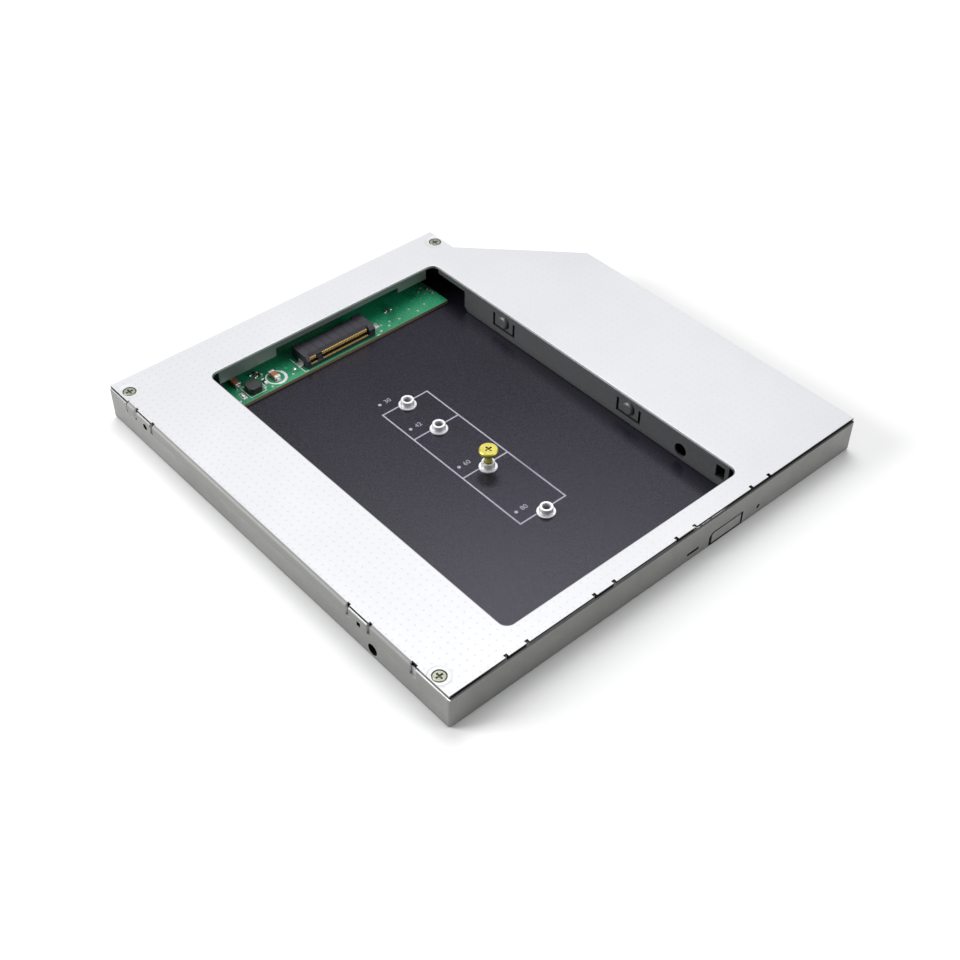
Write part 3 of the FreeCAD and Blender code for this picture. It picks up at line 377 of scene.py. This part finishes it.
def board_material():
    n = Nodes("board_lacquer")
    big = n.noise(18.0, 3.0, 0.5)
    weave = n.node("ShaderNodeTexBrick")
    weave.inputs["Scale"].default_value = 1100.0
    weave.inputs["Mortar Size"].default_value = 0.06
    n.link(n.coord, "Object", weave, "Vector")
    fine = n.noise(1600.0, 3.0, 0.6)
    dust = n.noise(700.0, 6.0, 0.75)
    ramp = n.ramp(big, "Fac", [(0.3, (0.0085, 0.0080, 0.0130)), (0.7, (0.0125, 0.0115, 0.0190))])
    speck = n.ramp(dust, "Fac", [(0.62, (0.0, 0.0, 0.0)), (0.80, (0.06, 0.06, 0.07))])
    col = n.mix(1.0, (ramp, "Color"), (speck, "Color"), "ADD")
    n.t.links.new(col[0].outputs[col[1]], n.b.inputs["Base Color"])
    r = n.value(fine, "Fac", 0.25, 0.31)
    n.link(r, "Result", n.b, "Roughness")
    n.b.inputs["Specular IOR Level"].default_value = 0.36
    n.b.inputs["Specular Tint"].default_value = (0.86, 0.84, 1.0, 1.0)
    b1 = n.bump((weave, "Fac"), 0.10, 0.00002)
    b2 = n.bump((fine, "Fac"), 0.08, 0.00003, b1)
    n.link(b2, "Normal", n.b, "Normal")
    return n.m


def pcb_material():
    n = Nodes("pcb_lacquer")
    big = n.noise(60.0, 3.0, 0.5)
    tracks = n.node("ShaderNodeTexBrick", offset=0.37, squash=1.6, squash_frequency=3)
    tracks.inputs["Scale"].default_value = 1.0
    tracks.inputs["Mortar Size"].default_value = 0.10
    tracks.inputs["Mortar Smooth"].default_value = 0.2
    tracks.inputs["Brick Width"].default_value = 3.4
    tracks.inputs["Row Height"].default_value = 0.85
    m = n.mapped((1000.0, 1000.0, 1000.0))
    n.link(m, "Vector", tracks, "Vector")
    fine = n.noise(1500.0, 3.0, 0.6)
    ramp = n.ramp(big, "Fac", [(0.3, (0.010, 0.215, 0.095)), (0.7, (0.018, 0.315, 0.145))])
    t = n.math("MULTIPLY", (tracks, "Fac"), 0.45)
    col = n.mix(t, (ramp, "Color"), (0.004, 0.12, 0.055))
    g = n.node("ShaderNodeNewGeometry")
    s = n.node("ShaderNodeSeparateXYZ")
    n.link(g, "Normal", s, "Vector")
    side = n.math("LESS_THAN", (s, "Z"), 0.5)
    col = n.mix(side, col, (0.26, 0.20, 0.11))
    # painted shade: the colour falls off near walls and parts
    col = n.shade(col, 1.5 * MM, 0.25)
    n.t.links.new(col[0].outputs[col[1]], n.b.inputs["Base Color"])
    r = n.value(fine, "Fac", 0.24, 0.36)
    n.link(r, "Result", n.b, "Roughness")
    n.b.inputs["Coat Weight"].default_value = 0.25
    n.b.inputs["Coat Roughness"].default_value = 0.2
    b1 = n.bump((tracks, "Fac"), 0.25, 0.00003)
    n.link(b1, "Normal", n.b, "Normal")
    return n.m


def button_material():
    n = Nodes("button_plastic")
    big = n.noise(500.0, 4.0, 0.6)
    fine = n.noise(2600.0, 3.0, 0.6)
    ramp = n.ramp(big, "Fac", [(0.3, (0.175, 0.176, 0.172)), (0.7, (0.215, 0.216, 0.210))])
    edge = n.math("MULTIPLY", n.edge_light(0.15 * MM), 0.4, clamp=True)
    col = n.mix(edge, (ramp, "Color"), (0.33, 0.33, 0.33))
    # only the pressed face is as light as the case; the rest of the button and the plate behind it are
    # painted near black, a painted shade in the gap
    face = n.both(n.place("Y", -63.30, -63.38), n.block(x=(13.85, 23.65), z=(1.0, 3.98)))
    col = n.mix(face, (0.006, 0.006, 0.006), col)
    n.t.links.new(col[0].outputs[col[1]], n.b.inputs["Base Color"])
    r = n.value(fine, "Fac", 0.42, 0.56)
    n.link(r, "Result", n.b, "Roughness")
    bm_ = n.bump((fine, "Fac"), 0.3, 0.00005)
    n.link(bm_, "Normal", n.b, "Normal")
    return n.m


M = {
    "cover": cover_material(),
    "case": case_material(),
    "board": board_material(),
    "pcb": pcb_material(),
    "nickel": surface("nickel_screw", (0.30, 0.31, 0.245), 0.55, 0.46, 0.06, 0.14, 500,
                      0.10, 3000, wear=(0.12 * MM, 0.4, (0.62, 0.63, 0.55)),
                      corner_shade=(0.5 * MM, 0.15, 0.9), recess_shade=(9.12, 9.32, (0.075, 0.075, 0.055))).m,
    "brass": surface("brass_screw", (0.52, 0.47, 0.095), 0.75, 0.38, 0.06, 0.10, 450,
                     0.04, 3000, wear=(0.25 * MM, 0.6, (1.0, 0.97, 0.52)),
                     corner_shade=(1.2 * MM, 0.03, 0.9), recess_shade=(6.9, 7.2, (0.30, 0.21, 0.03))).m,
    "silver": surface("standoff_plating", (0.74, 0.74, 0.76), 0.6, 0.40, 0.06, 0.08, 500,
                      0.08, 3000, wear=(0.15 * MM, 0.5, (0.95, 0.95, 0.96))).m,
    "spring": surface("spring_strip", (0.30, 0.30, 0.31), 0.8, 0.38, 0.06, 0.08, 600,
                      0.1, 3000, stretch=(5, 1, 1), corner_shade=(3.0 * MM, 0.02, 1.0)).m,
    "button": button_material(),
    "socket": surface("socket_moulding", (0.024, 0.022, 0.032), 0.0, 0.36, 0.06, 0.2, 500,
                      0.15, 2600, corner_shade=(1.0 * MM, 0.15, 0.8)).m,
    "gold": surface("contact_gold", (1.0, 0.66, 0.20), 0.55, 0.34, 0.06, 0.1, 900,
                    0.1, 4000).m,
    "tin": surface("solder_tin", (0.78, 0.76, 0.74), 0.9, 0.3, 0.08, 0.12, 1500,
                   0.5, 2500).m,
    "ferrite": surface("ferrite_block", (0.014, 0.015, 0.015), 0.0, 0.45, 0.1, 0.3, 900,
                       0.4, 2500).m,
    "tan": surface("ceramic_tan", (0.34, 0.135, 0.060), 0.0, 0.4, 0.08, 0.15, 900,
                   0.2, 3000).m,
    "chip": surface("chip_epoxy", (0.022, 0.022, 0.024), 0.0, 0.5, 0.08, 0.25, 900,
                    0.4, 3000).m,
    "plug": surface("plug_moulding", (0.022, 0.022, 0.026), 0.0, 0.42, 0.06, 0.2, 500,
                    0.2, 2600).m,
    "silk": surface("silk_ink", (0.37, 0.365, 0.43), 0.0, 0.6, 0.05, 0.14, 1600,
                    0.2, 3500).m,
    "track": surface("covered_track", (0.004, 0.105, 0.045), 0.0, 0.3, 0.05, 0.14, 1600,
                     0.2, 3500).m,
    "white_silk": surface("white_silk_ink", (0.72, 0.74, 0.72), 0.0, 0.6, 0.05, 0.08, 1600,
                          0.2, 3500).m,
    "dark_gap": surface("deep_shade", (0.006, 0.006, 0.006), 0.0, 0.8, 0.05, 0.2, 500,
                        0.1, 2500).m,
}
LOOK = {
    "bottom_case": "case", "top_cover": "cover", "cover_screws": "nickel",
    "ssd_screw": "brass", "eject_button": "button", "button_spring": "spring",
    "button_bracket": "spring", "bracket_rivets": "spring", "drive_board": "board",
    "converter_board": "pcb", "board_posts": "nickel", "board_screws": "nickel",
    "ssd_standoffs": "silver", "socket_housing": "socket",
    "socket_contacts_upper": "gold", "socket_contacts_lower": "gold",
    "socket_anchors": "tin", "power_inductor": "ferrite", "tan_capacitors": "tan",
    "chip_resistors": "chip", "regulator_chip": "chip", "plug_housing": "plug",
    "plug_contacts": "gold", "plug_pegs": "plug",
}
for name, obj in N.items():
    if not obj.material_slots:
        obj.data.materials.append(None)
    for s in obj.material_slots:
        s.material = M[LOOK[name]]

# ------------------------------------------------------- edges of carried nodes


def soften(name, width, segments=2, angle=38.0):
    """Welds the facets and rounds the sharp edges by a small radius."""
    o = N[name]
    w = o.modifiers.new("weld", "WELD")
    w.merge_threshold = 0.000002
    b = o.modifiers.new("edge", "BEVEL")
    b.width = width
    b.segments = segments
    b.limit_method = "ANGLE"
    b.angle_limit = math.radians(angle)
    b.use_clamp_overlap = True
    b.harden_normals = False
    b.miter_outer = "MITER_SHARP"


SOFT = {
    "eject_button": 0.00008, "ssd_standoffs": 0.0001, "ssd_screw": 0.0001,
    "socket_housing": 0.00008, "power_inductor": 0.0001, "tan_capacitors": 0.00012,
    "chip_resistors": 0.00006, "regulator_chip": 0.00006, "plug_housing": 0.00008,
    "drive_board": 0.00006, "converter_board": 0.00006, "cover_screws": 0.00005,
    "board_screws": 0.00006, "socket_anchors": 0.00006,
}
for name, width in SOFT.items():
    soften(name, width)

# ------------------------------------------------------------- added detail


def finish_mesh(name, bm, material, body="frame", smooth=False):
    bmesh.ops.recalc_face_normals(bm, faces=bm.faces)
    me = bpy.data.meshes.new(name)
    bm.to_mesh(me)
    bm.free()
    if smooth:
        for p in me.polygons:
            p.use_smooth = True
    me.materials.append(M[material])
    o = bpy.data.objects.new(name, me)
    scene.collection.objects.link(o)
    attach(o, body)
    return o


def add_box(bm, x0, x1, y0, y1, z0, z1, turn=0.0):
    """A block in millimetres; turn is about its own middle, in degrees."""
    c = Vector(((x0 + x1) / 2, (y0 + y1) / 2, (z0 + z1) / 2)) * MM
    m = (Matrix.Translation(c) @ Matrix.Rotation(math.radians(turn), 4, "Z")
         @ Matrix.Diagonal((abs(x1 - x0) * MM, abs(y1 - y0) * MM, abs(z1 - z0) * MM, 1.0)))
    bmesh.ops.create_cube(bm, size=1.0, matrix=m)


def add_ring(bm, x, y, z0, z1, r0, r1, steps=40, a0=0.0, a1=360.0):
    """A flat ring, or part of one, in millimetres."""
    whole = abs(a1 - a0) >= 359.9
    count = steps if whole else steps + 1
    rows = []
    for k in range(count):
        a = math.radians(a0 + (a1 - a0) * k / steps)
        ca, sa = math.cos(a), math.sin(a)
        rows.append([bm.verts.new(Vector((x + r * ca, y + r * sa, z)) * MM)
                     for r, z in ((r0, z0), (r1, z0), (r1, z1), (r0, z1))])
    for k in range(count if whole else count - 1):
        a, b = rows[k], rows[(k + 1) % count]
        for i in range(4):
            j = (i + 1) % 4
            bm.faces.new((a[i], a[j], b[j], b[i]))
    if not whole:
        bm.faces.new(rows[0][::-1])
        bm.faces.new(rows[-1])


BOARD = 1.5
PCB = 2.5

# printed frame round the standoffs
bm = bmesh.new()
left, right, thick = -14.85, -0.61, 0.38
rows = (18.91, 6.91, -11.09, -31.09)
for y in rows:
    # the line stops under the flange of the standoff
    add_box(bm, left - thick / 2, -7.73 - 2.1, y - thick / 2, y + thick / 2, BOARD, BOARD + 0.02)
    add_box(bm, -7.73 + 2.1, right + thick / 2, y - thick / 2, y + thick / 2, BOARD, BOARD + 0.02)
for x in (left, right):
    for a, b in zip(rows[:-1], rows[1:]):
        add_box(bm, x - thick / 2, x + thick / 2, b + thick / 2, a - thick / 2, BOARD, BOARD + 0.02)
finish_mesh("silk_frame", bm, "silk")

# plain numbers beside the standoffs, and a dot in front of each
bm = bmesh.new()
for y in (17.93, 5.93, -12.07, -32.07):
    bmesh.ops.create_cone(bm, cap_ends=True, segments=20, radius1=0.46 * MM, radius2=0.46 * MM,
                          depth=0.02 * MM,
                          matrix=Matrix.Translation(Vector((-12.95, y + 4.5, BOARD + 0.01)) * MM))
finish_mesh("silk_dots", bm, "silk")
for label, y in (("30", 17.93), ("42", 5.93), ("60", -12.07), ("80", -32.07)):
    cu = bpy.data.curves.new("silk_number_" + label, "FONT")
    cu.body = label
    cu.size = 1.9 * MM
    cu.extrude = 0.01 * MM
    cu.align_x, cu.align_y = "CENTER", "CENTER"
    tmp = bpy.data.objects.new("silk_tmp_" + label, cu)
    scene.collection.objects.link(tmp)
    dg = bpy.context.evaluated_depsgraph_get()
    me = bpy.data.meshes.new_from_object(tmp.evaluated_get(dg))
    bpy.data.objects.remove(tmp)
    me.transform(Matrix.Translation(Vector((-10.5, y + 4.5, BOARD + 0.011)) * MM))
    me.materials.clear()
    me.materials.append(M["silk"])
    o = bpy.data.objects.new("silk_number_" + label, me)
    scene.collection.objects.link(o)
    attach(o, "frame")

# printed outlines, pads and vias on the green board
bm = bmesh.new()


def line(x0, y0, x1, y1, w=0.22, z=PCB):
    length = math.hypot(x1 - x0, y1 - y0)
    cx, cy = (x0 + x1) / 2, (y0 + y1) / 2
    add_box(bm, cx - length / 2, cx + length / 2, cy - w / 2, cy + w / 2, z, z + 0.02,
            math.degrees(math.atan2(y1 - y0, x1 - x0)))


line(-19.75, 43.9, -19.75, 50.6)
line(-19.75, 43.9, -18.7, 43.9)
line(3.3, 43.75, 4.4, 43.75)
add_ring(bm, -26.7, 47.0, PCB, PCB + 0.02, 2.35, 2.75)
add_ring(bm, -26.7, 47.0, PCB, PCB + 0.022, 2.2, 2.95, 24, -110.0, 30.0)
for x0, x1, y0, y1 in ((-36.0, -31.3, 44.5, 49.3),):
    for a in (((x0, y0), (x1, y0)), ((x1, y0), (x1, y1)), ((x1, y1), (x0, y1)), ((x0, y1), (x0, y0))):
        line(a[0][0], a[0][1], a[1][0], a[1][1], 0.16)
finish_mesh("pcb_silk", bm, "white_silk")

bm = bmesh.new()


def solder(cx, cy, lx, ly, h):
    """Pad with a sloped fillet of solder on it."""
    add_box(bm, cx - lx / 2, cx + lx / 2, cy - ly / 2, cy + ly / 2, PCB, PCB + 0.04)
    base = [Vector((cx + sx * lx * 0.42, cy + sy * ly * 0.42, PCB + 0.04)) * MM
            for sx, sy in ((-1, -1), (1, -1), (1, 1), (-1, 1))]
    top = [Vector((cx + sx * lx * 0.22, cy + sy * ly * 0.30, PCB + h)) * MM
           for sx, sy in ((-1, -1), (1, -1), (1, 1), (-1, 1))]
    vb = [bm.verts.new(p) for p in base]
    vt = [bm.verts.new(p) for p in top]
    bm.faces.new(vt)
    bm.faces.new(vb[::-1])
    for k in range(4):
        j = (k + 1) % 4
        bm.faces.new((vb[k], vb[j], vt[j], vt[k]))


# (centre x, centre y, length, width, height, runs along y)
CHIPS = [(-26.9, 47.4, 3.2, 1.6, 1.2, True), (-36.1, 51.4, 3.2, 1.6, 1.2, True),
         (-29.9, 47.6, 1.6, 0.8, 0.45, True), (-29.7, 50.4, 1.6, 0.8, 0.45, False),
         (-30.3, 51.9, 1.6, 0.8, 0.45, False), (12.1, 50.3, 1.6, 0.8, 0.45, False),
         (26.2, 51.2, 1.2, 0.7, 0.45, True), (26.1, 49.0, 1.0, 0.6, 0.35, True)]
caps = bmesh.new()
for cx, cy, lo, wi, he, turned in CHIPS:
    end = lo * 0.2
    for s in (-1, 1):
        off = s * (lo / 2 - end / 2)
        ex, ey = (0, off) if turned else (off, 0)
        lx, ly = (wi, end) if turned else (end, wi)
        g = 0.03
        add_box(caps, cx + ex - lx / 2 - g, cx + ex + lx / 2 + g,
                cy + ey - ly / 2 - g, cy + ey + ly / 2 + g, PCB + 0.005, PCB + he + g)
        off = s * (lo / 2 + 0.22)
        ex, ey = (0, off) if turned else (off, 0)
        sx, sy = (wi * 0.95, 0.5) if turned else (0.5, wi * 0.95)
        solder(cx + ex, cy + ey, sx, sy, he * 0.45)
o = finish_mesh("chip_end_caps", caps, "tin")
b = o.modifiers.new("edge", "BEVEL")
b.width, b.segments = 0.00005, 2
for cx, cy, lx, ly in ((-37.2, 46.4, 1.2, 2.6), (-30.9, 46.4, 0.5, 2.2), (24.6, 50.0, 0.8, 0.6),
                       (-21.2, 46.8, 0.7, 1.0), (6.7, 46.6, 0.5, 0.7),
                       (23.6, 51.6, 0.9, 0.7), (25.2, 52.6, 0.8, 0.8), (5.2, 44.5, 0.9, 0.5)):
    solder(cx, cy, lx, ly, 0.25)
finish_mesh("pcb_solder", bm, "tin")

bm = bmesh.new()
for x, y in ((-22.6, 45.2), (-22.6, 48.4), (-24.2, 50.0), (8.4, 45.0), (9.6, 46.4), (12.3, 45.6),
             (16.8, 47.2), (18.2, 45.1), (21.4, 46.3), (22.3, 48.9), (-38.9, 45.0), (-40.3, 47.5),
             (7.5, 48.9), (14.9, 49.7), (19.9, 49.6), (-29.4, 44.6)):
    add_ring(bm, x, y, PCB, PCB + 0.015, 0.14, 0.30, 16)
finish_mesh("pcb_vias", bm, "tin")

# curved and straight tracks under the lacquer
bm = bmesh.new()
for k in range(4):
    r = 3.0 + 0.55 * k
    add_ring(bm, 8.6, 50.3, PCB, PCB + 0.012, r, r + 0.2, 24, -75.0, 5.0)
    x = 8.6 + r + 0.1
    add_box(bm, x - 0.1, x + 0.1, 50.55, 54.5, PCB, PCB + 0.012)
for k in range(5):
    y = 45.0 + 0.6 * k
    add_box(bm, -24.0, -20.6, y, y + 0.18, PCB, PCB + 0.012)
for k in range(3):
    add_box(bm, 20.0 + 0.8 * k, 20.2 + 0.8 * k, 50.0, 56.0, PCB, PCB + 0.012)
finish_mesh("pcb_tracks", bm, "track")

# moulding lines of the module socket
bm = bmesh.new()
for k in range(1, 9):
    x = -18.6 + 21.8 * k / 9
    add_box(bm, x - 0.12, x + 0.12, 46.2, 50.2, 5.7, 5.78)
add_box(bm, -17.6, 2.2, 45.95, 46.15, 5.7, 5.76)
finish_mesh("socket_mould_lines", bm, "socket")

# ------------------------------------------------------- floor, light, camera
floor = bmesh.new()
bmesh.ops.create_grid(floor, x_segments=1, y_segments=1, size=2.5)
me = bpy.data.meshes.new("floor")
floor.to_mesh(me)
floor.free()
fl = bpy.data.objects.new("floor", me)
scene.collection.objects.link(fl)
fl.location.z = -0.00002
n = Nodes("floor_paper")
pn = n.noise(8.0, 3.0, 0.5)
rp = n.ramp(pn, "Fac", [(0.3, (0.90, 0.90, 0.90)), (0.7, (0.92, 0.92, 0.92))])
n.link(rp, "Color", n.b, "Base Color")
n.b.inputs["Roughness"].default_value = 0.9
n.b.inputs["Specular IOR Level"].default_value = 0.1
me.materials.append(n.m)

world = bpy.data.worlds.new("studio")
scene.world = world
world.use_nodes = True
wn = world.node_tree
wn.nodes["Background"].inputs["Color"].default_value = (0.97, 0.98, 1.0, 1.0)
wn.nodes["Background"].inputs["Strength"].default_value = 0.28


def area(name, where, aim, size, power, tint=(1, 1, 1)):
    d = bpy.data.lights.new(name, "AREA")
    d.shape = "RECTANGLE"
    d.size, d.size_y = size
    d.energy = power
    d.color = tint
    o = bpy.data.objects.new(name, d)
    scene.collection.objects.link(o)
    o.location = where
    o.rotation_euler = (Vector(aim) - Vector(where)).to_track_quat("-Z", "Y").to_euler()
    return o


area("softbox_top", (0.218, 0.242, 0.731), (0, 0, 0), (0.5, 0.5), 4.0)
area("softbox_left", (-0.62, 0.42, 0.30), (0, 0, 0), (0.4, 0.5), 7.2)
area("softbox_front", (0.45, -0.62, 0.35), (0, 0, 0), (0.6, 0.5), 2.7)

scene.view_settings.view_transform = "Standard"
scene.view_settings.look = "None"
scene.view_settings.exposure = 0.0

rows = [Vector((0.74797, -0.66364, 0.01086)), Vector((-0.45019, -0.51928, -0.72641)),
        Vector((0.48772, 0.53845, -0.68717))]
right = rows[0].normalized()
ahead = rows[2].normalized()
down = ahead.cross(right).normalized()
right = down.cross(ahead).normalized()
cam = bpy.data.cameras.new("camera")
cam.sensor_fit = "HORIZONTAL"
cam.sensor_width = 36.0
cam.lens = 54.637
cam.clip_start, cam.clip_end = 0.01, 20.0
co = bpy.data.objects.new("camera", cam)
scene.collection.objects.link(co)
turn = Matrix((right, -down, -ahead)).transposed().to_4x4()
co.matrix_world = Matrix.Translation(Vector((-0.17914, -0.198502, 0.236828))) @ turn
scene.camera = co
